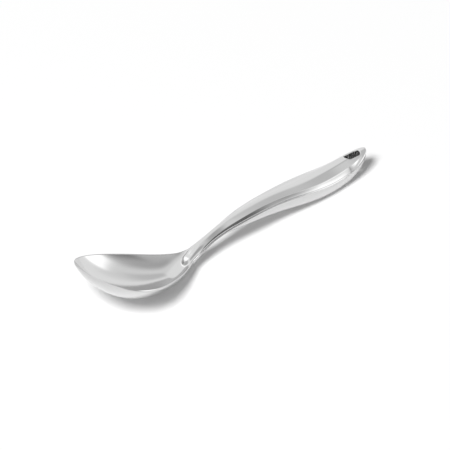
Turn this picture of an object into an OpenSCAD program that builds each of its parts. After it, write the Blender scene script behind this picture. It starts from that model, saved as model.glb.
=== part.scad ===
// Salad spoon in polished steel: an oval bowl and a long handle with a raised rib.
// It lies as it rests on a table, on the heel of the bowl and the underside of the grip.
// +X runs from the bowl tip to the handle end, +Z is up, and Y = 0 is the plane of symmetry.
// The origin is on the table, midway along the spoon.

/* [Overall] */
// Length on the table, from the bowl tip to the handle end
spoon_l = 266; // [250:1:290]

/* [Bowl] */
// Length of the rim, seen from above
bowl_l = 103.3; // [85:0.1:120]
// Width across the rim at its widest
bowl_w = 60; // [50:1:70]
// Widest place, as a part of the bowl length from the tip
bowl_widest = 0.285; // [0.25:0.005:0.45]
// Fullness of the outline: 0.5 is a full oval and more draws in towards the heel
outline_taper = 0.84; // [0.6:0.02:0.95]
// Depth of the hollow below the rim, midway along
bowl_depth = 16.6; // [12:0.1:22]
// Lean of the hollow: 0 is deepest midway and more moves the depth towards the tip
hollow_lean = 0.32; // [0:0.02:0.6]
// Thickness of the rim edge
rim_t = 1.2; // [0.8:0.1:2]
// Metal added to the wall at the bottom of the bowl
floor_add = 0.5; // [0:0.1:1.5]
// How much higher the rim stands at the tip than the bowl is deep
tip_rise = 25; // [18:0.1:30]
// The same a third of the way along the bowl
front_rise = 12.6; // [8:0.1:15]
// The same two thirds of the way along the bowl
back_rise = 1.9; // [0:0.1:4]
// How much lower the rim stands at the heel than the bowl is deep
heel_drop = 4.2; // [2:0.1:6]
// Height by which the underside is levelled where it rests on the table
foot_flat = 0.3; // [0.2:0.05:0.5]

/* [Handle places] */
// Distance of the heel, where the rim runs into the handle, from the inner end of the rim
heel_in = 7.3; // [5:0.1:10]
// Neck, as a part of the handle length from the heel
neck_at = 0.12; // [0.1:0.01:0.15]
// Top of the arch
arch_at = 0.27; // [0.22:0.01:0.32]
// Start of the palm swell
palm_at = 0.47; // [0.42:0.01:0.52]
// Widest place of the grip
grip_at = 0.68; // [0.64:0.01:0.72]
// Start of the upturned end
flick_at = 0.87; // [0.84:0.01:0.88]

/* [Handle widths] */
// Full width at the heel
heel_w = 12; // [10:0.5:14]
// Full width at the neck
neck_w = 8.4; // [8:0.1:12]
// Full width at the arch
arch_w = 12.4; // [10:0.5:15]
// Full width at the start of the palm
palm_w = 17.2; // [14:0.2:20]
// Full width at the grip
grip_w = 21.2; // [17:0.5:24]
// Full width at the start of the upturned end
flick_w = 18.2; // [16:0.2:22]

/* [Handle edge heights] */
// Height of the side edge at the neck
neck_edge_z = 16.2; // [14:0.1:18]
// Height of the side edge at the arch
arch_edge_z = 19.7; // [17:0.1:22]
// Height of the side edge at the start of the palm
palm_edge_z = 19.6; // [17:0.1:22]
// Height of the side edge at the grip
grip_edge_z = 14.9; // [14:0.1:17]
// Height of the side edge at the start of the upturned end
flick_edge_z = 12.9; // [12:0.1:15]
// Height of the side edge at the end
end_edge_z = 18.5; // [16:0.1:20]

/* [Rib crest] */
// Height of the crest above the side edge at the heel
heel_crest = 3.3; // [2:0.1:5]
// The same at the neck
neck_crest = 4.9; // [3:0.1:7]
// The same at the arch
arch_crest = 4.9; // [3:0.1:7]
// The same at the start of the palm
palm_crest = 4; // [3:0.1:7]
// The same at the grip
grip_crest = 5.3; // [3:0.1:8]
// The same at the start of the upturned end
flick_crest = 7.8; // [5:0.1:9]
// The same at the end
end_crest = 1.1; // [0.5:0.1:4]

/* [Underside] */
// Depth of the underside below the side edge at the heel
heel_under = 8.9; // [7:0.1:11]
// The same at the neck
neck_under = 3; // [2.5:0.1:6]
// The same at the arch
arch_under = 6.1; // [4:0.1:8]
// The same at the start of the palm
palm_under = 10.5; // [8:0.1:12]
// The same at the grip
grip_under = 12.8; // [11:0.1:14]
// The same at the start of the upturned end
flick_under = 11; // [9:0.1:12]
// The same at the end
end_under = 5.4; // [3:0.1:7]

/* [Rib] */
// Distance from the round start of the rib to the heel
rib_lead = 4; // [0:0.5:8]
// Width of the rib foot where it starts on the bowl
rib_start_w = 6.4; // [5:0.1:8]
// Width of the rib foot along the grip
rib_w = 9.2; // [8:0.1:12]
// Part of the rib half width that is flat on top
rib_flat = 0.35; // [0.1:0.05:0.6]
// Part of the crown height that belongs to the rib
rib_share = 0.55; // [0.4:0.05:0.7]

/* [Hanging hole] */
// Length of the hole
hole_l = 14.5; // [10:0.5:16]
// Width of the hole
hole_w = 7; // [4:0.5:8]
// Distance from the end of the handle to the near end of the hole
hole_gap = 5.5; // [4.5:0.5:8]

/* [Hidden] */
steel = [0.80, 0.81, 0.82];
heel_x = bowl_l - heel_in;
handle_l = spoon_l - heel_x;
marks = [0, neck_at, arch_at, palm_at, grip_at, flick_at, 1];
places = [for (m = marks) heel_x + handle_l * m];
palm_x = places[3];
flick_x = places[5];
// powers of the curves: more is squarer
bowl_round = 2.4;
handle_round = 3.4;
hollow_round = 0.6;
join_power = 5;
end_power = 2.2;
crest_power = 3;
flank_power = 1.2;
// radius of the rounded rim and side edges, and the narrowest half section
edge_r = 0.45;
least_half = 0.72;
// thinnest belly under the side edge
least_belly = 0.5;
// first and last sections stand this far inside the two ends
end_in = 0.05;
// the bowl wall thickens over this length from the tip
floor_lead = 10;
// the handle grows out of the bowl over this length before the heel
root_l = 36;
// the sections turn from bowl into handle from this far before the heel to this far after it
turn_before = 18;
turn_after = 16;
// the underside starts to round up this far past the start of the upturned end
end_lead = 6;
// the rib fades in over this length, and keeps this part of its width at the end
rib_fade = 8;
rib_end_part = 0.1;
// sections: points from the middle to the edge, of these on the rib, and steps underneath
half_n = 15;
rib_n = 8;
low_n = 24;
// the points gather on the rib from this far before the heel, over this length
gather_before = 40;
gather_l = 30;
// parts of the half width where the points on the rib end, on the bowl and at most
bowl_split = 0.5;
rib_split = 0.8;
// sections in the front and back of the bowl, at the rib start, on the handle and on its end
front_cuts = 21;
back_cuts = 10;
start_cuts = 13;
handle_cuts = 28;
end_cuts = 18;
// the close sections at the rib start reach this far on both sides
start_reach = 8;
// the hole's cutter stands out this far above and below
cut_over = 1;

// Natural cubic spline through the points xs, ys.
function ahead(xs, ys, i = 1, acc = [[0, 0]]) =
    i > len(xs) - 2 ? acc :
    let (
        h0 = xs[i] - xs[i - 1],
        h1 = xs[i + 1] - xs[i],
        den = 2 * (h0 + h1) - h0 * acc[i - 1][0],
        r = 6 * ((ys[i + 1] - ys[i]) / h1 - (ys[i] - ys[i - 1]) / h0)
    )
    ahead(xs, ys, i + 1, concat(acc, [[h1 / den, (r - h0 * acc[i - 1][1]) / den]]));
function behind(acc, i, m) =
    i < 1 ? concat([0], m) : behind(acc, i - 1, concat([acc[i][1] - acc[i][0] * m[0]], m));
function bends(xs, ys) = behind(ahead(xs, ys), len(xs) - 2, [0]);
function span(xs, x, i = 0) = i >= len(xs) - 2 || x < xs[i + 1] ? i : span(xs, x, i + 1);
function curve(xs, ys, m, x) =
    let (i = span(xs, x), h = xs[i + 1] - xs[i], a = (xs[i + 1] - x) / h, b = (x - xs[i]) / h)
    a * ys[i] + b * ys[i + 1]
    + ((pow(a, 3) - a) * m[i] + (pow(b, 3) - b) * m[i + 1]) * h * h / 6;

// Lines along the spoon, each a spline through the heights or widths above.
tip_z = bowl_depth + tip_rise;
edge_xs = concat([0, heel_x / 3, heel_x * 2 / 3], places);
rim_ys = [tip_z, bowl_depth + front_rise, bowl_depth + back_rise, bowl_depth - heel_drop];
side_ys = [neck_edge_z, arch_edge_z, palm_edge_z, grip_edge_z, flick_edge_z, end_edge_z];
edge_ys = concat(rim_ys, side_ys);
edge_m = bends(edge_xs, edge_ys);
crest_ys = [heel_crest, neck_crest, arch_crest, palm_crest, grip_crest, flick_crest, end_crest];
crest_m = bends(places, crest_ys);
under_ys = [heel_under, neck_under, arch_under, palm_under, grip_under, flick_under, end_under];
under_m = bends(places, under_ys);
wide_xs = [for (i = [0:5]) places[i]];
wide_ys = [heel_w, neck_w, arch_w, palm_w, grip_w, flick_w] / 2;
wide_m = bends(wide_xs, wide_ys);

function clip(v) = min(max(v, 0), 1);
function ease(v) = let (c = clip(v)) c * c * (3 - 2 * c);
function mix(a, b, f) = a + (b - a) * f;
function past_heel(x) = max(x, heel_x);
function edge_z(x) = curve(edge_xs, edge_ys, edge_m, x);
function crest(x) = curve(places, crest_ys, crest_m, past_heel(x));
function belly(x) = curve(places, under_ys, under_m, past_heel(x)) - rim_t;

// How far a section has turned from bowl into handle, and how far it lies along the upturned end.
function turned(x) = ease((x - heel_x + turn_before) / (turn_before + turn_after));
function end_part(x) = clip((x - flick_x) / (spoon_l - flick_x));

// Half width of the bowl, of the handle, and of the two run together.
function bowl_half(x) =
    let (t = clip(x / bowl_l), p = ln(0.5) / ln(bowl_widest))
    bowl_w / 2 * pow(max(sin(180 * pow(t, p)), 0), outline_taper);
function handle_half(x) =
    x < heel_x ? heel_w / 2 * clip((x - heel_x + root_l) / root_l) :
    x > flick_x ? flick_w / 2 * sqrt(max(1 - pow(end_part(x), end_power), 0)) :
    curve(wide_xs, wide_ys, wide_m, x);
function half_w(x) =
    max(pow(pow(bowl_half(x), join_power) + pow(handle_half(x), join_power), 1 / join_power), least_half);

// Depth of the bowl hollow, and of the underside below the lower side of the rim.
function hollow(x) =
    let (t = clip(x / bowl_l))
    bowl_depth * pow(4 * t * (1 - t), hollow_round) * (1 + hollow_lean * (0.5 - t));
function bulge(x) =
    let (
        lift = clip((x - flick_x - end_lead) / (spoon_l - flick_x - end_lead)),
        bowl = hollow(x) + floor_add * clip(x / floor_lead),
        handle = max(belly(x), least_belly) * sqrt(1 - lift * lift)
    )
    mix(bowl, handle, turned(x));

// Rib along the middle, with a round start on the heel of the bowl.
rib_from = heel_x - rib_lead;
function rib_half(x) =
    let (f = clip((x - heel_x) / (palm_x - heel_x)), e = end_part(x))
    mix(rib_start_w, rib_w, f) / 2 * max(sqrt(1 - e * e), rib_end_part);
function rib_rise(x, y) =
    let (
        ahead_of = max(rib_from - x, 0),
        d = sqrt(y * y + ahead_of * ahead_of) / rib_half(x),
        s = clip((d - rib_flat) / (1 - rib_flat))
    )
    (1 + cos(180 * s)) / 2;
function crown(x) = max(crest(x), 0) * sqrt(1 - pow(end_part(x), crest_power));

// Height of the upper side at the place y, and of the lower side before it is levelled.
function upper_z(x, y, w) =
    let (
        n = min(abs(y) / w, 1),
        f = turned(x),
        share = rib_share * clip((x - rib_from + rib_fade) / rib_fade)
    )
    edge_z(x) - (1 - f) * hollow(x) * (1 - pow(n, bowl_round))
    + crown(x) * (f * (1 - rib_share) * pow(1 - n, flank_power) + share * rib_rise(x, y));
function round_z(x, y, w) =
    let (n = min(abs(y) / w, 1), r = mix(bowl_round, handle_round, turned(x)))
    edge_z(x) - rim_t - bulge(x) * (1 - pow(n, r));

// Places of the sections along the spoon, close together at both ends and at the rib start.
mid_bowl = heel_x / 2;
slices = concat(
    [for (i = [0:front_cuts]) end_in + (mid_bowl - end_in) * (1 - cos(90 * i / front_cuts))],
    [for (i = [1:back_cuts]) mix(mid_bowl, rib_from - start_reach, i / back_cuts)],
    [for (i = [1:start_cuts]) mix(rib_from - start_reach, rib_from + start_reach, i / start_cuts)],
    [for (i = [1:handle_cuts]) mix(rib_from + start_reach, flick_x, i / handle_cuts)],
    [for (i = [1:end_cuts]) mix(flick_x, spoon_l - end_in, sin(90 * i / end_cuts))]
);

// The underside is levelled a little where it rests, on the heel of the bowl and on the grip.
rest_z = min([for (x = slices) round_z(x, 0, half_w(x))]) + foot_flat;
function lower_z(x, y, w) = max(round_z(x, y, w), rest_z);

// Places across the upper side: one half from the middle to the edge.
function across(x, w) =
    let (
        gathered = ease((x - heel_x + gather_before) / gather_l),
        split = mix(w * bowl_split, min(rib_half(x), w * rib_split), gathered)
    )
    [for (i = [0:half_n])
        i <= rib_n ? split * i / rib_n :
        mix(split, w - edge_r, sin(90 * (i - rib_n) / (half_n - rib_n)))];

// One closed section at the place x, near edge first, over the top and back underneath.
function section(x) =
    let (w = half_w(x), ys = across(x, w), mid_z = edge_z(x) - rim_t / 2, low_w = w - edge_r)
    concat(
        [[x, -w, mid_z]],
        [for (i = [half_n:-1:0]) [x, -ys[i], upper_z(x, ys[i], w)]],
        [for (i = [1:half_n]) [x, ys[i], upper_z(x, ys[i], w)]],
        [[x, w, mid_z]],
        [for (i = [0:low_n]) let (y = low_w * cos(180 * i / low_n)) [x, y, lower_z(x, y, w)]]
    );

module body() {
    rings = [for (x = slices) section(x)];
    k = len(rings[0]);
    n = len(rings);
    points = [for (r = rings) each r];
    sides = [for (i = [0:n - 2], j = [0:k - 1])
        let (a = i * k + j, b = i * k + (j + 1) % k) each [[a, b, b + k], [a, b + k, a + k]]];
    first = [for (j = [k - 1:-1:0]) j];
    last = [for (j = [0:k - 1]) (n - 1) * k + j];
    polyhedron(points = points, faces = concat([first], sides, [last]), convexity = 6);
}

// Oval hole through the handle near its end.
module hanging_hole() {
    far_x = spoon_l - hole_gap - hole_w / 2;
    near_x = far_x - (hole_l - hole_w);
    hull() {
        for (x = [near_x, far_x]) {
            translate([x, 0, -cut_over]) cylinder(h = tip_z + 2 * cut_over, d = hole_w, $fn = 32);
        }
    }
}

module spoon() {
    color(steel) translate([-spoon_l / 2, 0, -rest_z]) difference() {
        body();
        hanging_hole();
    }
}

spoon();
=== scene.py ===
"""Looks of a salad spoon in polished steel, lying on a pale table.

The spoon is one smooth skin, built section by section, so that its long reflections run clean
from the bowl to the handle end. Its sizes are those of the solid model, apart from the handle,
whose ridge is crisper and whose belly is fuller, and the bowl's tip, which is drawn in a little.
"""
import logging
import math
from dataclasses import dataclass, field
from enum import Enum, IntEnum
from typing import Dict, List, Optional, Sequence, Tuple, Union

import bmesh
import bpy
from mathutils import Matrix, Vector


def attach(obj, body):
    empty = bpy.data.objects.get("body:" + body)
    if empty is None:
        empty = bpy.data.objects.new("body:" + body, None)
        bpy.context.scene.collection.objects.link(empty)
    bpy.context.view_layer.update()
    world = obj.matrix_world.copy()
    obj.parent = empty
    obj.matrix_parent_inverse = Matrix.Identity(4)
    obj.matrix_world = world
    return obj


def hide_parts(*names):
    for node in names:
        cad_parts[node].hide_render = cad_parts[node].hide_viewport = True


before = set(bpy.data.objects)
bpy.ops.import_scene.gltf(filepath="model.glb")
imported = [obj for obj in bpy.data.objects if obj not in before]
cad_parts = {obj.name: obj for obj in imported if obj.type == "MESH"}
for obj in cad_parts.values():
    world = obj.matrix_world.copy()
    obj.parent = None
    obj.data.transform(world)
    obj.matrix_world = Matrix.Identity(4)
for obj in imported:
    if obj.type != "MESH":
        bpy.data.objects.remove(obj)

LOG = logging.getLogger("salad_spoon")
MM = 0.001
Point = Tuple[float, float, float]
Term = Union[bpy.types.NodeSocket, float]


class Mark(IntEnum):
    """The named places along the handle, in the order of its sizes."""

    HEEL = 0
    NECK = 1
    ARCH = 2
    PALM = 3
    GRIP = 4
    UPTURN = 5
    TAIL = 6


class Side(Enum):
    """The side of the spoon, and the way its hole's mouth rolls: 1 is down and -1 is up."""

    UPPER = 1.0
    LOWER = -1.0


def clip(value: float) -> float:
    """Limit a value to the range 0 to 1."""
    return min(max(value, 0.0), 1.0)


def ease(value: float) -> float:
    """Blend from 0 to 1 with level ends."""
    c = clip(value)
    return c * c * (3.0 - 2.0 * c)


def mix(low: float, high: float, part: float) -> float:
    """Return the value that lies a part of the way from low to high."""
    return low + (high - low) * part


def soft_min(a: float, b: float, reach: float) -> float:
    """Return the smaller of two heights, rounded where they are within reach of each other."""
    near = max(reach - abs(a - b), 0.0)
    return min(a, b) - near * near / (4.0 * reach)


class Curve:
    """A natural cubic spline through a few named heights or widths."""

    def __init__(self, places: Sequence[float], values: Sequence[float]) -> None:
        """Work out the bend at each place.

        Args:
            places: Where the values stand along the spoon, rising.
            values: The height or width at each place.
        """
        self.places = list(places)
        self.values = list(values)
        last = len(self.places) - 1
        ahead: List[Tuple[float, float]] = [(0.0, 0.0)]
        for i in range(1, last):
            h0 = self.places[i] - self.places[i - 1]
            h1 = self.places[i + 1] - self.places[i]
            down = 2.0 * (h0 + h1) - h0 * ahead[i - 1][0]
            slope_in = (self.values[i] - self.values[i - 1]) / h0
            slope_out = (self.values[i + 1] - self.values[i]) / h1
            ahead.append((h1 / down, (6.0 * (slope_out - slope_in) - h0 * ahead[i - 1][1]) / down))
        self.bends = [0.0] * (last + 1)
        for i in range(last - 1, 0, -1):
            self.bends[i] = ahead[i][1] - ahead[i][0] * self.bends[i + 1]

    def at(self, x: float) -> float:
        """Read the curve at one place.

        Args:
            x: Place along the spoon.

        Returns:
            The height or width there.
        """
        i = 0
        while i < len(self.places) - 2 and x >= self.places[i + 1]:
            i += 1
        h = self.places[i + 1] - self.places[i]
        a = (self.places[i + 1] - x) / h
        b = (x - self.places[i]) / h
        bend = (a ** 3 - a) * self.bends[i] + (b ** 3 - b) * self.bends[i + 1]
        return a * self.values[i] + b * self.values[i + 1] + bend * h * h / 6.0


@dataclass(frozen=True)
class SpoonSizes:
    """Sizes of the spoon in millimetres.

    The tuples run along the spoon: the rim from the tip to the heel, and the handle at the heel,
    neck, arch, palm, grip, upturned end and tail. The ridge is the raised middle of the handle:
    a level top, sloping sides down to its foot, and a steep flank from the foot to the edge.
    """

    length: float = 266.0
    bowl_length: float = 103.3
    bowl_width: float = 60.0
    bowl_widest: float = 0.285
    outline_taper: float = 0.84
    bowl_depth: float = 16.6
    hollow_lean: float = 0.32
    rim_thickness: float = 1.2
    floor_add: float = 0.5
    foot_flat: float = 0.3
    heel_in: float = 7.3
    rim_rises: Tuple[float, ...] = (25.0, 12.6, 1.9, -4.2)
    marks: Tuple[float, ...] = (0.0, 0.12, 0.27, 0.47, 0.68, 0.87, 1.0)
    side_heights: Tuple[float, ...] = (16.2, 19.7, 19.6, 14.9, 12.9, 18.5)
    widths: Tuple[float, ...] = (12.0, 8.4, 12.4, 16.2, 21.0, 17.6)
    crests: Tuple[float, ...] = (3.3, 4.9, 4.9, 4.0, 5.3, 7.8, 1.1)
    bellies: Tuple[float, ...] = (8.9, 3.0, 6.1, 10.5, 12.8, 12.2, 12.0)
    ridge_crests: Tuple[float, ...] = (3.2, 4.3, 4.5, 4.7, 5.5, 6.6, 1.2)
    ridge_halves: Tuple[float, ...] = (1.0, 1.1, 1.0, 1.4, 2.6, 2.3, 0.8)
    foot_heights: Tuple[float, ...] = (1.2, 1.7, 2.6, 2.9, 3.0, 3.2, 0.5)
    flank_widths: Tuple[float, ...] = (0.7, 0.9, 1.5, 1.9, 2.0, 2.2, 2.0)
    rib_lead: float = 2.0
    rib_start_width: float = 8.6
    rib_width: float = 9.2
    rib_flat: float = 0.42
    rib_share: float = 0.78
    hole_length: float = 14.5
    hole_width: float = 7.0
    hole_gap: float = 5.5
    hole_lip: float = 0.6
    edge_radius: float = 0.45
    tip_in: float = 1.5
    tip_reach: float = 22.0


@dataclass(frozen=True)
class SpoonCurves:
    """Powers and blending lengths of the spoon's curves."""

    bowl_round: float = 2.4
    handle_round: float = 3.4
    hollow_round: float = 0.6
    join_power: float = 5.0
    end_power: float = 1.5
    tail_power: float = 2.6
    crest_power: float = 3.0
    flank_power: float = 1.2
    least_half: float = 0.72
    least_belly: float = 0.5
    floor_lead: float = 10.0
    root_length: float = 36.0
    turn_before: float = 18.0
    turn_after: float = 16.0
    end_lead: float = 10.0
    rib_fade: float = 8.0
    rib_end_part: float = 0.1
    gather_before: float = 40.0
    gather_length: float = 30.0
    bowl_split: float = 0.5
    rib_split: float = 0.8
    ridge_blend: float = 14.0
    soft_crease: float = 0.5
    foot_crease: float = 0.12
    flank_hollow: float = 0.22
    hollow_from: float = 150.0
    hollow_blend: float = 40.0
    flank_part: float = 0.38
    ridge_part: float = 0.55
    least_top: float = 0.1
    least_foot: float = 0.05
    least_brim: float = 0.2
    edge_power: float = 1.7


@dataclass(frozen=True)
class SkinDetail:
    """How finely the skin is divided.

    Sections are counted along the spoon and points along half of the upper side, across the lower
    side and round an edge. The reaches of the close sections and the gap at each end are in
    millimetres.
    """

    end_gap: float = 0.05
    rib_reach: float = 8.0
    hole_reach: float = 4.5
    tip_sections: int = 56
    bowl_sections: int = 34
    rib_sections: int = 40
    handle_sections: int = 100
    hole_sections: int = 56
    tail_sections: int = 24
    upper_points: int = 45
    top_points: int = 11
    side_points: int = 25
    lower_points: int = 56
    lip_points: int = 9
    search_per_mm: float = 2.0


@dataclass
class SpoonForm:
    """The spoon's surface as heights and widths along its length."""

    sizes: SpoonSizes = field(default_factory=SpoonSizes)
    curves: SpoonCurves = field(default_factory=SpoonCurves)
    detail: SkinDetail = field(default_factory=SkinDetail)

    def __post_init__(self) -> None:
        """Lay the splines through the named sizes."""
        s = self.sizes
        self.heel_x = s.bowl_length - s.heel_in
        self.places = [self.heel_x + (s.length - self.heel_x) * m for m in s.marks]
        rim_places = [self.heel_x * i / 3.0 for i in range(3)]
        rims = [s.bowl_depth + rise for rise in s.rim_rises]
        self.edge = Curve(rim_places + self.places, rims + list(s.side_heights))
        self.crest = Curve(self.places, s.crests)
        self.belly = Curve(self.places, s.bellies)
        self.wide = Curve(self.places[:Mark.TAIL], [w / 2.0 for w in s.widths])
        self.ridge_crest = Curve(self.places, s.ridge_crests)
        self.ridge_half = Curve(self.places, s.ridge_halves)
        self.foot_height = Curve(self.places, s.foot_heights)
        self.flank_width = Curve(self.places, s.flank_widths)
        self.palm_x = self.places[Mark.PALM]
        self.flick_x = self.places[Mark.UPTURN]
        self.rib_from = self.heel_x - s.rib_lead
        self.power = math.log(0.5) / math.log(s.bowl_widest)
        self.hole_far = s.length - s.hole_gap - s.hole_width / 2.0
        self.hole_near = self.hole_far - (s.hole_length - s.hole_width)
        per_mm = self.detail.search_per_mm
        steps = [i / per_mm for i in range(1, int(s.length * per_mm))]
        self.rest = min(self.round_z(x, 0.0, self.half_width(x)) for x in steps) + s.foot_flat

    def turned(self, x: float) -> float:
        """Return how far the section at x has turned from bowl into handle."""
        c = self.curves
        return ease((x - self.heel_x + c.turn_before) / (c.turn_before + c.turn_after))

    def end_part(self, x: float) -> float:
        """Return how far x lies along the upturned end."""
        return clip((x - self.flick_x) / (self.sizes.length - self.flick_x))

    def half_width(self, x: float) -> float:
        """Join the outlines of the bowl and the handle.

        Args:
            x: Place along the spoon.

        Returns:
            Half the width of the outline there.
        """
        s, c = self.sizes, self.curves
        t = clip(x / s.bowl_length)
        bowl = s.bowl_width / 2.0 * max(math.sin(math.pi * t ** self.power), 0.0) ** s.outline_taper
        if x < self.heel_x:
            root = clip((x - self.heel_x + c.root_length) / c.root_length)
            handle = s.widths[Mark.HEEL] / 2.0 * root
        elif x > self.flick_x:
            end = math.sqrt(max(1.0 - self.end_part(x) ** c.end_power, 0.0))
            handle = s.widths[Mark.UPTURN] / 2.0 * end
        else:
            handle = self.wide.at(x)
        joined = (bowl ** c.join_power + handle ** c.join_power) ** (1.0 / c.join_power)
        return max(joined, c.least_half)

    def hollow(self, x: float) -> float:
        """Work out the hollow of the bowl, deepest a little before its middle.

        Args:
            x: Place along the spoon.

        Returns:
            The depth of the bowl below its rim there.
        """
        s = self.sizes
        t = clip(x / s.bowl_length)
        lean = 1.0 + s.hollow_lean * (0.5 - t)
        return s.bowl_depth * (4.0 * t * (1.0 - t)) ** self.curves.hollow_round * lean

    def bulge(self, x: float) -> float:
        """Blend the underside of the bowl into the belly of the handle.

        Args:
            x: Place along the spoon.

        Returns:
            How far the underside bulges below the edge there.
        """
        s, c = self.sizes, self.curves
        lift = clip((x - self.flick_x - c.end_lead) / (s.length - self.flick_x - c.end_lead))
        bowl = self.hollow(x) + s.floor_add * clip(x / c.floor_lead)
        belly = self.belly.at(max(x, self.heel_x)) - s.rim_thickness
        handle = max(belly, c.least_belly) * math.sqrt(1.0 - lift ** c.tail_power)
        return mix(bowl, handle, self.turned(x))

    def rib_half(self, x: float) -> float:
        """Widen the rib from its start to the palm, and narrow it again at the end.

        Args:
            x: Place along the spoon.

        Returns:
            Half the width of the rib's foot there.
        """
        s = self.sizes
        part = clip((x - self.heel_x) / (self.palm_x - self.heel_x))
        e = self.end_part(x)
        narrow = max(math.sqrt(1.0 - e * e), self.curves.rib_end_part)
        return mix(s.rib_start_width, s.rib_width, part) / 2.0 * narrow

    def rib_rise(self, x: float, y: float) -> float:
        """Round the start of the rib.

        Args:
            x: Place along the spoon.
            y: Place across the spoon.

        Returns:
            The rib's rise, from 0 at its foot to 1 on top.
        """
        ahead = max(self.rib_from - x, 0.0)
        d = math.hypot(y, ahead) / self.rib_half(x)
        part = clip((d - self.sizes.rib_flat) / (1.0 - self.sizes.rib_flat))
        return (1.0 + math.cos(math.pi * part)) / 2.0

    def fade(self, x: float) -> float:
        """Return how much of the handle's height is left at x on the upturned end."""
        return math.sqrt(1.0 - self.end_part(x) ** self.curves.crest_power)

    def crown(self, x: float) -> float:
        """Return the height of the rib's crest above the edge, where the rib starts."""
        return max(self.crest.at(max(x, self.heel_x)), 0.0) * self.fade(x)

    def foot_y(self, x: float, w: float) -> float:
        """Return where the ridge's side meets the flank, on a section of half width w."""
        brim = max(self.flank_width.at(max(x, self.heel_x)), self.curves.least_brim)
        return w - min(brim, w * self.curves.flank_part)

    def ridge_y(self, x: float, w: float) -> float:
        """Return half the width of the ridge's top, on a section of half width w."""
        top = max(self.ridge_half.at(max(x, self.heel_x)), self.curves.least_top)
        return min(top, self.foot_y(x, w) * self.curves.ridge_part)

    def ridge_z(self, x: float, y: float, w: float) -> float:
        """Shape the ridge, with a level top, sloping sides and steeper, slightly hollow flanks.

        Args:
            x: Place along the spoon.
            y: Place across the spoon.
            w: Half the width of the outline at x.

        Returns:
            The height of the handle's ridge above the edge.
        """
        c = self.curves
        a = min(abs(y), w)
        left = self.fade(x)
        top = max(self.ridge_crest.at(max(x, self.heel_x)), 0.0) * left
        foot = max(self.foot_height.at(max(x, self.heel_x)), c.least_foot) * left
        near, far = self.ridge_y(x, w), self.foot_y(x, w)
        side = top - (top - foot) * (a - near) / (far - near)
        power = 1.0 + c.flank_hollow * ease((x - c.hollow_from) / c.hollow_blend)
        flank = foot * ((w - a) / (w - far)) ** power
        return soft_min(soft_min(top, side, c.soft_crease), flank, c.foot_crease)

    def upper_z(self, x: float, y: float, w: float) -> float:
        """Blend the hollow of the bowl, the start of the rib and the ridge of the handle.

        Args:
            x: Place along the spoon.
            y: Place across the spoon.
            w: Half the width of the outline at x.

        Returns:
            The height of the upper side there.
        """
        s, c = self.sizes, self.curves
        n = min(abs(y) / w, 1.0)
        f = self.turned(x)
        share = s.rib_share * clip((x - self.rib_from + c.rib_fade) / c.rib_fade)
        flank = f * (1.0 - s.rib_share) * (1.0 - n) ** c.flank_power
        bowl = (1.0 - f) * self.hollow(x) * (1.0 - n ** c.bowl_round)
        start = self.crown(x) * (flank + share * self.rib_rise(x, y))
        grown = ease((x - self.heel_x) / c.ridge_blend)
        raised = mix(start, self.ridge_z(x, y, w), grown) if grown > 0.0 else start
        return self.edge.at(x) - bowl + raised

    def round_z(self, x: float, y: float, w: float) -> float:
        """Round the lower side, before it is levelled where it rests.

        Args:
            x: Place along the spoon.
            y: Place across the spoon.
            w: Half the width of the outline at x.

        Returns:
            The height of the lower side there.
        """
        c = self.curves
        n = min(abs(y) / w, 1.0)
        power = mix(c.bowl_round, c.handle_round, self.turned(x))
        return self.edge.at(x) - self.sizes.rim_thickness - self.bulge(x) * (1.0 - n ** power)

    def lower_z(self, x: float, y: float, w: float) -> float:
        """Return the height of the lower side, level where it rests."""
        return max(self.round_z(x, y, w), self.rest)

    def section(self, x: float) -> List[Point]:
        """Lay out one closed section, from the near edge over the top and back underneath.

        Args:
            x: Place of the section along the spoon.

        Returns:
            The section's points in metres in the spoon's own frame.
        """
        s, c, d = self.sizes, self.curves, self.detail
        w = self.half_width(x)
        inner = w - s.edge_radius
        z = self.edge.at(x)
        gathered = ease((x - self.heel_x + c.gather_before) / c.gather_length)
        grown = ease((x - self.heel_x) / c.ridge_blend)
        foot = mix(min(self.rib_half(x), w * c.rib_split), self.foot_y(x, w), grown)
        foot = mix(w * c.bowl_split, foot, gathered)
        top = mix(w * c.bowl_split / 2.0, min(self.ridge_y(x, w), foot / 2.0), gathered)
        ys: List[float] = []
        for i in range(d.upper_points + 1):
            if i <= d.top_points:
                ys.append(top * i / d.top_points)
            elif i <= d.side_points:
                ys.append(mix(top, foot, (i - d.top_points) / (d.side_points - d.top_points)))
            else:
                part = (i - d.side_points) / (d.upper_points - d.side_points)
                ys.append(mix(foot, inner, math.sin(math.pi / 2.0 * part)))
        lip: List[Tuple[float, float]] = []
        for i in range(1, d.lip_points + 1):
            turn = math.pi / 2.0 - math.pi * i / (d.lip_points + 1)
            out, up = math.cos(turn), math.sin(turn)
            sunk = s.rim_thickness / 2.0 * (1.0 - math.copysign(abs(up) ** c.edge_power, up))
            lip.append((inner + s.edge_radius * out ** c.edge_power, z - sunk))
        ring: List[Tuple[float, float]] = []
        ring += [(-y, h) for y, h in reversed(lip)]
        ring += [(-y, self.upper_z(x, y, w)) for y in reversed(ys)]
        ring += [(y, self.upper_z(x, y, w)) for y in ys[1:]]
        ring += lip
        for i in range(d.lower_points + 1):
            y = inner * math.cos(math.pi * i / d.lower_points)
            ring.append((y, self.lower_z(x, y, w)))
        place = x - s.length / 2.0 + s.tip_in * clip(1.0 - x / s.tip_reach) ** 2
        return [(place * MM, y * MM, (h - self.rest) * MM) for y, h in ring]

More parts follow.
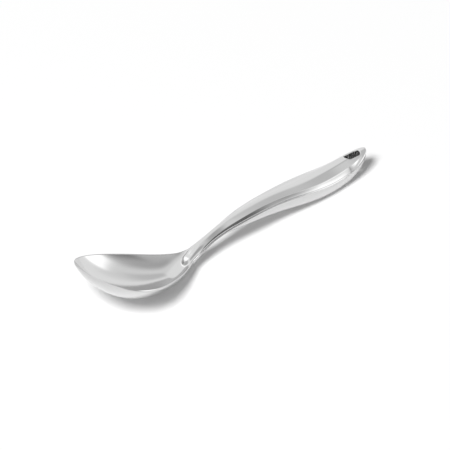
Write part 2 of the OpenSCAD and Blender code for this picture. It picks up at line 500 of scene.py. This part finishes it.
    def slices(self) -> List[float]:
        """Space the sections, close together at both ends, at the rib's start and at the hole.

        Returns:
            The places of the sections along the spoon, rising.
        """
        d = self.detail
        middle = self.heel_x / 2.0
        rib_near, rib_far = self.rib_from - d.rib_reach, self.rib_from + d.rib_reach
        hole_end = self.hole_far + d.hole_reach
        tail_end = self.sizes.length - d.end_gap
        places = [d.end_gap]
        for i in range(1, d.tip_sections + 1):
            part = 1.0 - math.cos(math.pi / 2.0 * i / d.tip_sections)
            places.append(d.end_gap + (middle - d.end_gap) * part)
        for start, end, count in (
            (middle, rib_near, d.bowl_sections),
            (rib_near, rib_far, d.rib_sections),
            (rib_far, self.flick_x, d.handle_sections),
            (self.flick_x, hole_end, d.hole_sections),
        ):
            places += [mix(start, end, i / count) for i in range(1, count + 1)]
        for i in range(1, d.tail_sections + 1):
            places.append(mix(hole_end, tail_end, math.sin(math.pi / 2.0 * i / d.tail_sections)))
        return places


@dataclass(frozen=True)
class PolishedSteel:
    """Finish of the whole spoon: bright stainless steel with a soft polish."""

    name: str = "polished_steel"
    colour: Tuple[float, float, float] = (0.62, 0.62, 0.62)
    worn_colour: Tuple[float, float, float] = (0.60, 0.60, 0.60)
    roughness: float = 0.13
    rough_change: float = 0.04
    cloud_scale: float = 22.0
    grain_scale: float = 900.0
    grain_height: float = 0.4e-6

    def build(self, group: bpy.types.NodeTree) -> bpy.types.Material:
        """Make the steel material.

        Args:
            group: The polish group that gives colour, roughness and normal.

        Returns:
            The finished material.
        """
        material = bpy.data.materials.new(self.name)
        material.use_nodes = True
        nodes = material.node_tree.nodes
        links = material.node_tree.links
        shader = nodes["Principled BSDF"]
        shader.inputs["Metallic"].default_value = 1.0
        polish = nodes.new("ShaderNodeGroup")
        polish.node_tree = group
        polish.inputs["Colour"].default_value = (*self.colour, 1.0)
        polish.inputs["Worn Colour"].default_value = (*self.worn_colour, 1.0)
        polish.inputs["Roughness"].default_value = self.roughness
        polish.inputs["Roughness Change"].default_value = self.rough_change
        polish.inputs["Cloud Scale"].default_value = self.cloud_scale
        polish.inputs["Grain Scale"].default_value = self.grain_scale
        polish.inputs["Grain Height"].default_value = self.grain_height
        links.new(polish.outputs["Colour"], shader.inputs["Base Color"])
        links.new(polish.outputs["Roughness"], shader.inputs["Roughness"])
        links.new(polish.outputs["Normal"], shader.inputs["Normal"])
        return material


@dataclass(frozen=True)
class PolishGroup:
    """Shader node group: soft clouds of polish and a very fine lengthwise grain."""

    name: str = "steel_polish"
    cloud_detail: float = 3.0
    grain_detail: float = 2.0
    grain_stretch: Point = (0.06, 1.0, 1.0)
    grain_strength: float = 0.3

    def build(self) -> bpy.types.NodeTree:
        """Build the group once, with named inputs and outputs.

        Returns:
            The node group.
        """
        group = bpy.data.node_groups.new(self.name, "ShaderNodeTree")
        face = group.interface
        for name, kind, value in (
            ("Colour", "NodeSocketColor", (0.8, 0.8, 0.8, 1.0)),
            ("Worn Colour", "NodeSocketColor", (0.75, 0.75, 0.75, 1.0)),
            ("Roughness", "NodeSocketFloat", 0.1),
            ("Roughness Change", "NodeSocketFloat", 0.05),
            ("Cloud Scale", "NodeSocketFloat", 20.0),
            ("Grain Scale", "NodeSocketFloat", 900.0),
            ("Grain Height", "NodeSocketFloat", 0.4e-6),
        ):
            socket = face.new_socket(name=name, in_out="INPUT", socket_type=kind)
            socket.default_value = value
        face.new_socket(name="Colour", in_out="OUTPUT", socket_type="NodeSocketColor")
        face.new_socket(name="Roughness", in_out="OUTPUT", socket_type="NodeSocketFloat")
        face.new_socket(name="Normal", in_out="OUTPUT", socket_type="NodeSocketVector")
        nodes, links = group.nodes, group.links
        start = nodes.new("NodeGroupInput")
        end = nodes.new("NodeGroupOutput")
        place = nodes.new("ShaderNodeTexCoord")
        clouds = nodes.new("ShaderNodeTexNoise")
        clouds.inputs["Detail"].default_value = self.cloud_detail
        links.new(place.outputs["Object"], clouds.inputs["Vector"])
        links.new(start.outputs["Cloud Scale"], clouds.inputs["Scale"])
        tint = nodes.new("ShaderNodeMix")
        tint.data_type = "RGBA"
        links.new(clouds.outputs["Fac"], tint.inputs["Factor"])
        links.new(start.outputs["Colour"], tint.inputs["A"])
        links.new(start.outputs["Worn Colour"], tint.inputs["B"])
        links.new(tint.outputs["Result"], end.inputs["Colour"])
        swing = nodes.new("ShaderNodeMath")
        swing.operation = "MULTIPLY_ADD"
        links.new(clouds.outputs["Fac"], swing.inputs[0])
        links.new(start.outputs["Roughness Change"], swing.inputs[1])
        links.new(start.outputs["Roughness"], swing.inputs[2])
        links.new(swing.outputs[0], end.inputs["Roughness"])
        stretch = nodes.new("ShaderNodeMapping")
        stretch.inputs["Scale"].default_value = self.grain_stretch
        links.new(place.outputs["Object"], stretch.inputs["Vector"])
        grain = nodes.new("ShaderNodeTexNoise")
        grain.inputs["Detail"].default_value = self.grain_detail
        links.new(stretch.outputs["Vector"], grain.inputs["Vector"])
        links.new(start.outputs["Grain Scale"], grain.inputs["Scale"])
        bump = nodes.new("ShaderNodeBump")
        bump.inputs["Strength"].default_value = self.grain_strength
        links.new(start.outputs["Grain Height"], bump.inputs["Distance"])
        links.new(grain.outputs["Fac"], bump.inputs["Height"])
        links.new(bump.outputs["Normal"], end.inputs["Normal"])
        return group


@dataclass
class SpoonBuilder:
    """Builds the spoon's skin with its hanging hole and dresses it."""

    form: SpoonForm
    sharp_angle: float = math.radians(60.0)
    lip_steps: int = 4

    def skin(self) -> bpy.types.Mesh:
        """Pull one ring of edges from section to section, close both ends and cut the hole.

        Returns:
            The finished mesh.
        """
        places = self.form.slices()
        first = self.form.section(places[0])
        bm = bmesh.new()
        made = bmesh.ops.create_circle(bm, cap_ends=False, radius=MM, segments=len(first))
        ring = made["verts"]
        for vert, point in zip(ring, first):
            vert.co = point
        edges = list(bm.edges)
        bmesh.ops.holes_fill(bm, edges=edges, sides=0)
        for x in places[1:]:
            ahead, edges = self.pull_loop(bm, edges)
            ring = [ahead[vert] for vert in ring]
            for vert, point in zip(ring, self.form.section(x)):
                vert.co = point
        bmesh.ops.holes_fill(bm, edges=edges, sides=0)
        self.turn_outward(bm)
        self.cut_hole(bm)
        self.turn_outward(bm)
        mesh = bpy.data.meshes.new("spoon_skin")
        bm.to_mesh(mesh)
        bm.free()
        return mesh

    @staticmethod
    def pull_loop(
        bm: bmesh.types.BMesh, edges: List[bmesh.types.BMEdge]
    ) -> Tuple[Dict[bmesh.types.BMVert, bmesh.types.BMVert], List[bmesh.types.BMEdge]]:
        """Pull a new loop of edges out of a loop, ready to be moved.

        Args:
            bm: The mesh that is worked on.
            edges: The loop of edges.

        Returns:
            The new vertex for each old one, and the new loop of edges.
        """
        pulled = bmesh.ops.extrude_edge_only(bm, edges=edges)["geom"]
        fresh = {g for g in pulled if isinstance(g, bmesh.types.BMVert)}
        ahead = {e.other_vert(v): v for v in fresh for e in v.link_edges}
        loop = [
            g for g in pulled
            if isinstance(g, bmesh.types.BMEdge) and g.verts[0] in fresh and g.verts[1] in fresh
        ]
        return ahead, loop

    @staticmethod
    def turn_outward(bm: bmesh.types.BMesh) -> None:
        """Point every face away from the inside.

        Args:
            bm: The mesh that is worked on.
        """
        bmesh.ops.recalc_face_normals(bm, faces=bm.faces)
        if bm.calc_volume(signed=True) < 0.0:
            bmesh.ops.reverse_faces(bm, faces=bm.faces)

    def nearest(self, point: Vector) -> Vector:
        """Find the nearest point of the hole's middle line.

        Args:
            point: A point on or near the hole's mouth, in metres.

        Returns:
            The point of the middle line, at the height of the given point.
        """
        half = self.form.sizes.length / 2.0
        near, far = (self.form.hole_near - half) * MM, (self.form.hole_far - half) * MM
        return Vector((min(max(point.x, near), far), 0.0, point.z))

    def roll_lip(
        self, bm: bmesh.types.BMesh, edges: List[bmesh.types.BMEdge], side: Side
    ) -> List[bmesh.types.BMEdge]:
        """Roll the mouth of the hole inward in a quarter round.

        Args:
            bm: The mesh that is worked on.
            edges: The loop of edges round the mouth.
            side: The side of the spoon that the mouth is on.

        Returns:
            The last loop of edges.
        """
        lip = self.form.sizes.hole_lip * MM
        starts = {v: v.co.copy() for e in edges for v in e.verts}
        for step in range(1, self.lip_steps + 1):
            turn = math.pi / 2.0 * step / self.lip_steps
            ahead, edges = self.pull_loop(bm, edges)
            starts = {ahead[vert]: start for vert, start in starts.items()}
            for vert, start in starts.items():
                inward = (self.nearest(start) - start).normalized()
                vert.co = start + inward * lip * math.sin(turn)
                vert.co.z -= side.value * lip * (1.0 - math.cos(turn))
        return edges

    def cut_hole(self, bm: bmesh.types.BMesh) -> None:
        """Cut the hanging hole through both sides, roll its lips and join them by a wall.

        Args:
            bm: The mesh that is worked on.
        """
        form, s = self.form, self.form.sizes
        radius = s.hole_width / 2.0 * MM
        half = s.length / 2.0
        inside = []
        for face in bm.faces:
            middle = face.calc_center_median()
            if (middle - self.nearest(middle)).length < radius:
                inside.append(face)
        bmesh.ops.delete(bm, geom=inside, context="FACES")
        rims = [e for e in bm.edges if e.is_boundary]
        upper = [e for e in rims if e.link_faces[0].normal.z > 0.0]
        lower = [e for e in rims if e.link_faces[0].normal.z <= 0.0]
        ends: List[bmesh.types.BMEdge] = []
        for loop, side, height in (
            (upper, Side.UPPER, form.upper_z),
            (lower, Side.LOWER, form.lower_z),
        ):
            for vert in {v for e in loop for v in e.verts}:
                middle = self.nearest(vert.co)
                vert.co = middle + (vert.co - middle).normalized() * radius
                x, y = vert.co.x / MM + half, vert.co.y / MM
                vert.co.z = (height(x, y, form.half_width(x)) - form.rest) * MM
            ends += self.roll_lip(bm, loop, side)
        bmesh.ops.bridge_loops(bm, edges=ends)

    def build(self, steel: bpy.types.Material) -> bpy.types.Object:
        """Make the finished spoon.

        Args:
            steel: The material for the whole spoon.

        Returns:
            The spoon's object, at the origin.
        """
        spoon = bpy.data.objects.new("spoon_skin", self.skin())
        bpy.context.scene.collection.objects.link(spoon)
        self.dress(spoon, steel)
        return spoon

    def dress(self, spoon: bpy.types.Object, steel: bpy.types.Material) -> None:
        """Smooth the skin, keep its sharp edges crisp and give it the steel.

        Args:
            spoon: The spoon's object.
            steel: The material for the whole spoon.
        """
        mesh = spoon.data
        bm = bmesh.new()
        bm.from_mesh(mesh)
        for face in bm.faces:
            face.smooth = True
        for edge in bm.edges:
            edge.smooth = edge.is_manifold and edge.calc_face_angle(0.0) < self.sharp_angle
        bm.to_mesh(mesh)
        bm.free()
        mesh.materials.append(steel)


@dataclass(frozen=True)
class SoftPanel:
    """One soft panel of the studio, as the steel sees it.

    Azimuth turns to the right from the level direction in which the camera looks. Breadth and
    height are half angles, soft is the width of its fading edge, and all are in degrees.
    """

    name: str
    azimuth: float
    elevation: float
    breadth: float
    height: float
    soft: float
    strength: float


@dataclass(frozen=True)
class PanelGroup:
    """Node group for the room: the light of one soft panel in a direction."""

    name: str = "soft_panel"
    least_depth: float = 0.001

    def build(self) -> bpy.types.NodeTree:
        """Build the group once, with named inputs and outputs.

        Returns:
            The node group.
        """
        group = bpy.data.node_groups.new(self.name, "ShaderNodeTree")
        face = group.interface
        for name in ("Direction", "Middle", "Side", "Rise"):
            face.new_socket(name=name, in_out="INPUT", socket_type="NodeSocketVector")
        for name in ("Breadth", "Height", "Soft", "Strength"):
            face.new_socket(name=name, in_out="INPUT", socket_type="NodeSocketFloat")
        face.new_socket(name="Light", in_out="OUTPUT", socket_type="NodeSocketFloat")
        nodes, links = group.nodes, group.links
        start = nodes.new("NodeGroupInput")
        end = nodes.new("NodeGroupOutput")

        def dot(name: str) -> bpy.types.NodeSocket:
            """Add the part of the direction that lies along a named input.

            Args:
                name: Name of the input.

            Returns:
                The socket that holds it.
            """
            node = nodes.new("ShaderNodeVectorMath")
            node.operation = "DOT_PRODUCT"
            links.new(start.outputs["Direction"], node.inputs[0])
            links.new(start.outputs[name], node.inputs[1])
            return node.outputs["Value"]

        def math_node(kind: str, a: Term, b: Optional[Term] = None) -> bpy.types.NodeSocket:
            """Add one sum on sockets or numbers.

            Args:
                kind: Blender's name of the sum.
                a: First socket or number.
                b: Second socket or number, where the sum has one.

            Returns:
                The socket that holds the result.
            """
            node = nodes.new("ShaderNodeMath")
            node.operation = kind
            for place, value in ((0, a), (1, b)):
                if isinstance(value, bpy.types.NodeSocket):
                    links.new(value, node.inputs[place])
                elif value is not None:
                    node.inputs[place].default_value = value
            return node.outputs[0]

        depth = math_node("MAXIMUM", dot("Middle"), self.least_depth)
        masks = []
        for axis, half in (("Side", "Breadth"), ("Rise", "Height")):
            angle = math_node("ARCTANGENT", math_node("DIVIDE", dot(axis), depth))
            away = math_node("ABSOLUTE", angle)
            fade = nodes.new("ShaderNodeMapRange")
            fade.interpolation_type = "SMOOTHSTEP"
            links.new(away, fade.inputs["Value"])
            reach = math_node("ADD", start.outputs[half], start.outputs["Soft"])
            links.new(start.outputs[half], fade.inputs["From Min"])
            links.new(reach, fade.inputs["From Max"])
            fade.inputs["To Min"].default_value = 1.0
            fade.inputs["To Max"].default_value = 0.0
            masks.append(fade.outputs["Result"])
        both = math_node("MULTIPLY", masks[0], masks[1])
        ahead = math_node("GREATER_THAN", dot("Middle"), 0.0)
        lit = math_node("MULTIPLY", both, ahead)
        links.new(math_node("MULTIPLY", lit, start.outputs["Strength"]), end.inputs["Light"])
        return group


@dataclass(frozen=True)
class Studio:
    """Pale floor, soft light and the camera.

    Lengths are in metres and angles in degrees, and the lens and its sensor are in millimetres.
    The fitted origin is where the zero of the spoon's sizes falls in the picture, in pixels to
    the right of and above the upper left corner.
    """

    floor_size: float = 8.0
    floor_colour: Tuple[float, float, float] = (0.80, 0.80, 0.80)
    floor_glow: float = 0.15
    azimuth: float = 45.4
    elevation: float = 34.0
    lens: float = 1500.0
    sensor: float = 36.0
    sight: float = 50.0
    pixels_per_mm: float = 1.48
    frame_pixels: float = 450.0
    aim_pixel: Tuple[float, float] = (225.0, 225.0)
    fitted_origin: Tuple[float, float] = (89.21, -326.44)
    room: float = 1.12
    fill: float = 0.12
    lamp_place: Point = (-4.62, -1.73, 5.30)
    lamp_size: float = 2.0
    lamp_power: float = 13.0
    panels: Tuple[SoftPanel, ...] = (
        SoftPanel("right_gap", 108.0, 8.0, 6.0, 10.0, 9.0, -0.54),
        SoftPanel("right_shade", 122.0, 22.0, 14.0, 10.0, 22.0, -0.43),
        SoftPanel("right_lamp", 76.0, 17.0, 11.0, 6.0, 6.0, 0.75),
        SoftPanel("right_high", 100.0, 50.0, 40.0, 14.0, 20.0, -0.15),
        SoftPanel("back_shade", 48.0, 50.0, 9.0, 6.0, 14.0, -0.22),
        SoftPanel("left_gap", -128.0, 20.0, 16.0, 8.0, 12.0, -0.50),
        SoftPanel("left_lamp", -82.0, 38.0, 8.0, 6.0, 8.0, 0.55),
    )

    def axes(self) -> Tuple[Vector, Vector, Vector]:
        """Work out how the camera is turned.

        Returns:
            The camera's right, up and forward directions.
        """
        a = math.radians(self.azimuth)
        e = math.radians(self.elevation)
        right = Vector((math.cos(a), -math.sin(a), 0.0))
        up = Vector((math.sin(a) * math.sin(e), math.cos(a) * math.sin(e), math.cos(e)))
        forward = Vector((math.sin(a) * math.cos(e), math.cos(a) * math.cos(e), -math.sin(e)))
        return right, up, forward

    def camera(self, form: SpoonForm) -> bpy.types.Object:
        """Place the camera so that the spoon lands where it does in the photograph.

        Args:
            form: The spoon's form, for its length and the height at which it rests.

        Returns:
            The camera.
        """
        right, up, forward = self.axes()
        half = form.sizes.length / 2.0
        u0 = self.fitted_origin[0] + self.pixels_per_mm * right.x * half
        v0 = self.fitted_origin[1] + self.pixels_per_mm * (up.x * half + up.z * form.rest)
        off_u = (self.aim_pixel[0] - u0) / self.pixels_per_mm
        off_v = (-self.aim_pixel[1] - v0) / self.pixels_per_mm
        target = (right * off_u + up * off_v) * MM
        data = bpy.data.cameras.new("camera")
        data.lens = self.lens
        data.sensor_width = self.sensor
        data.sensor_fit = "HORIZONTAL"
        span = self.frame_pixels / self.pixels_per_mm * MM
        distance = span * self.lens / self.sensor
        data.clip_end = self.sight
        camera = bpy.data.objects.new("camera", data)
        camera.location = target - forward * distance
        camera.rotation_euler = forward.to_track_quat("-Z", "Y").to_euler()
        bpy.context.scene.collection.objects.link(camera)
        LOG.info("camera: %.2f m from the spoon", distance)
        return camera

    def floor_material(self) -> bpy.types.Material:
        """Make the pale finish of the floor, which keeps the spoon's shadow.

        Returns:
            The floor's material.
        """
        material = bpy.data.materials.new("pale_floor")
        material.use_nodes = True
        nodes = material.node_tree.nodes
        links = material.node_tree.links
        nodes.clear()
        out = nodes.new("ShaderNodeOutputMaterial")
        matt = nodes.new("ShaderNodeBsdfDiffuse")
        matt.inputs["Color"].default_value = (*self.floor_colour, 1.0)
        glow = nodes.new("ShaderNodeEmission")
        path = nodes.new("ShaderNodeLightPath")
        seen = nodes.new("ShaderNodeMath")
        seen.operation = "ADD"
        links.new(path.outputs["Is Camera Ray"], seen.inputs[0])
        links.new(path.outputs["Is Transmission Ray"], seen.inputs[1])
        level = nodes.new("ShaderNodeMath")
        level.operation = "ADD"
        level.use_clamp = True
        links.new(seen.outputs[0], level.inputs[0])
        links.new(path.outputs["Is Glossy Ray"], level.inputs[1])
        strength = nodes.new("ShaderNodeMath")
        strength.operation = "MULTIPLY"
        strength.inputs[1].default_value = self.floor_glow
        links.new(level.outputs[0], strength.inputs[0])
        links.new(strength.outputs[0], glow.inputs["Strength"])
        both = nodes.new("ShaderNodeAddShader")
        links.new(matt.outputs["BSDF"], both.inputs[0])
        links.new(glow.outputs["Emission"], both.inputs[1])
        links.new(both.outputs["Shader"], out.inputs["Surface"])
        return material

    def floor(self) -> bpy.types.Object:
        """Lay the floor under the spoon.

        Returns:
            The floor.
        """
        bm = bmesh.new()
        bmesh.ops.create_grid(bm, x_segments=1, y_segments=1, size=self.floor_size / 2.0)
        mesh = bpy.data.meshes.new("floor")
        bm.to_mesh(mesh)
        bm.free()
        mesh.materials.append(self.floor_material())
        floor = bpy.data.objects.new("floor", mesh)
        bpy.context.scene.collection.objects.link(floor)
        return floor

    def direction(self, azimuth: float, elevation: float) -> Vector:
        """Work out a direction in the room.

        Args:
            azimuth: Degrees to the right of the level direction in which the camera looks.
            elevation: Degrees above the floor.

        Returns:
            The direction, of length 1.
        """
        turn = math.radians(self.azimuth + azimuth)
        rise = math.radians(elevation)
        level = math.cos(rise)
        return Vector((math.sin(turn) * level, math.cos(turn) * level, math.sin(rise)))

    def world(self) -> None:
        """Set the soft room, with its panels and gaps, and less of it on matt surfaces."""
        world = bpy.data.worlds.new("studio_room")
        bpy.context.scene.world = world
        world.use_nodes = True
        nodes = world.node_tree.nodes
        links = world.node_tree.links
        nodes.clear()
        out = nodes.new("ShaderNodeOutputWorld")
        back = nodes.new("ShaderNodeBackground")
        back.inputs["Color"].default_value = (1.0, 1.0, 1.0, 1.0)
        links.new(back.outputs["Background"], out.inputs["Surface"])
        place = nodes.new("ShaderNodeTexCoord")
        group = PanelGroup().build()
        total = nodes.new("ShaderNodeValue")
        total.outputs[0].default_value = self.room
        sum_so_far = total.outputs[0]
        for panel in self.panels:
            node = nodes.new("ShaderNodeGroup")
            node.node_tree = group
            node.label = panel.name
            middle = self.direction(panel.azimuth, panel.elevation)
            side = self.direction(panel.azimuth + 90.0, 0.0)
            links.new(place.outputs["Generated"], node.inputs["Direction"])
            node.inputs["Middle"].default_value = middle
            node.inputs["Side"].default_value = side
            node.inputs["Rise"].default_value = side.cross(middle)
            node.inputs["Breadth"].default_value = math.radians(panel.breadth)
            node.inputs["Height"].default_value = math.radians(panel.height)
            node.inputs["Soft"].default_value = math.radians(panel.soft)
            node.inputs["Strength"].default_value = panel.strength
            add = nodes.new("ShaderNodeMath")
            add.operation = "ADD"
            links.new(sum_so_far, add.inputs[0])
            links.new(node.outputs["Light"], add.inputs[1])
            sum_so_far = add.outputs[0]
        path = nodes.new("ShaderNodeLightPath")
        dim = nodes.new("ShaderNodeMath")
        dim.operation = "MULTIPLY_ADD"
        dim.inputs[1].default_value = self.fill - 1.0
        dim.inputs[2].default_value = 1.0
        links.new(path.outputs["Is Diffuse Ray"], dim.inputs[0])
        level = nodes.new("ShaderNodeMath")
        level.operation = "MULTIPLY"
        links.new(sum_so_far, level.inputs[0])
        links.new(dim.outputs[0], level.inputs[1])
        links.new(level.outputs[0], back.inputs["Strength"])
        world.cycles.sampling_method = "NONE"

    def lamp(self) -> bpy.types.Object:
        """Hang the soft lamp that casts the shadow.

        Returns:
            The lamp.
        """
        data = bpy.data.lights.new("shadow_lamp", "AREA")
        data.shape = "SQUARE"
        data.size = self.lamp_size
        data.energy = self.lamp_power
        data.use_nodes = True
        nodes = data.node_tree.nodes
        even = nodes.new("ShaderNodeLightFalloff")
        even.inputs["Strength"].default_value = 1.0
        data.node_tree.links.new(even.outputs["Constant"], nodes["Emission"].inputs["Strength"])
        lamp = bpy.data.objects.new("shadow_lamp", data)
        lamp.location = self.lamp_place
        lamp.rotation_euler = (-Vector(self.lamp_place)).to_track_quat("-Z", "Y").to_euler()
        lamp.visible_glossy = False
        bpy.context.scene.collection.objects.link(lamp)
        return lamp

    def build(self, form: SpoonForm) -> None:
        """Set up the floor, room, lamp and camera.

        Args:
            form: The spoon's form.
        """
        floor = self.floor()
        self.world()
        lamp = self.lamp()
        bpy.context.scene.camera = self.camera(form)
        bpy.context.scene.view_settings.view_transform = "Standard"
        LOG.info("stage: %s, %s and %d soft panels", floor.name, lamp.name, len(self.panels))


def main() -> None:
    """Build the spoon and its stage, and report each piece."""
    logging.basicConfig(level=logging.INFO, format="%(name)s: %(message)s")
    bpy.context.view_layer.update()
    form = SpoonForm()
    steel = PolishedSteel().build(PolishGroup().build())
    spoon = SpoonBuilder(form).build(steel)
    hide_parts("spoon")
    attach(spoon, "root")
    LOG.info("spoon: %d faces", len(spoon.data.polygons))
    Studio().build(form)


if __name__ == "__main__":
    main()
